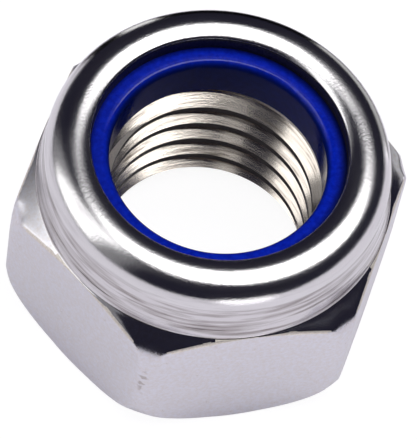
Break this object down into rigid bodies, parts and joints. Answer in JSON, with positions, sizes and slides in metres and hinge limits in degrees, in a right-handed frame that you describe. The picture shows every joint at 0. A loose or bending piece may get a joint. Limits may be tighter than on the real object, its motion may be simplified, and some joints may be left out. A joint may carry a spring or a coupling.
{
  "type": "nylon insert lock nut",
  "caption": "Hexagon lock nut with a collar whose rolled rim holds a nylon ring that grips the screw's thread.",
  "frame": {"origin": "centre of the bearing face, on the thread axis", "axes": "+Z along the thread axis, from the bearing face towards the nylon ring; two corners of the hexagon lie on the X axis and two flats face +Y and -Y"},
  "size_m": [0.0273, 0.024, 0.0158],
  "materials": {
    "steel": "bright zinc plated steel, rolled and forged",
    "nylon": "blue nylon, satin"
  },
  "bodies": {
    "root": {"nut_body": "steel", "nylon_insert": "nylon"}
  },
  "joints": []
}
